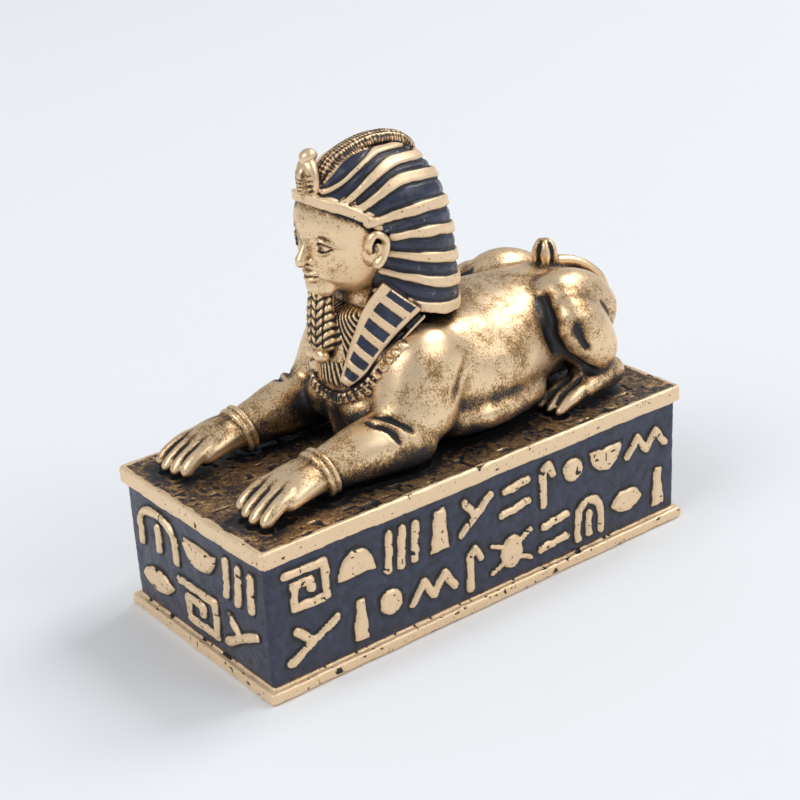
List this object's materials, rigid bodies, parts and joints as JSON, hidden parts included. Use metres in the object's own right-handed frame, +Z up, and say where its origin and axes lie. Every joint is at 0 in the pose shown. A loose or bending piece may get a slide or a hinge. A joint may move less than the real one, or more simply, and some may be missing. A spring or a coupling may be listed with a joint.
{
  "type": "sphinx statue",
  "caption": "Lying sphinx figurine with striped headcloth and braided beard on a rectangular plinth with raised panel marks, cast in one piece.",
  "frame": {"origin": "middle of the plinth's underside, on the surface that the statue stands on", "axes": "+Z up; the figure looks along -Y and its left side is +X; the plinth's length runs along Y"},
  "size_m": [0.05, 0.105, 0.0906],
  "materials": {
    "gilded_resin": "painted resin, antique gold rubbed over black and dark blue-grey"
  },
  "bodies": {
    "root": {"sphinx_statue": "gilded_resin"}
  },
  "joints": []
}
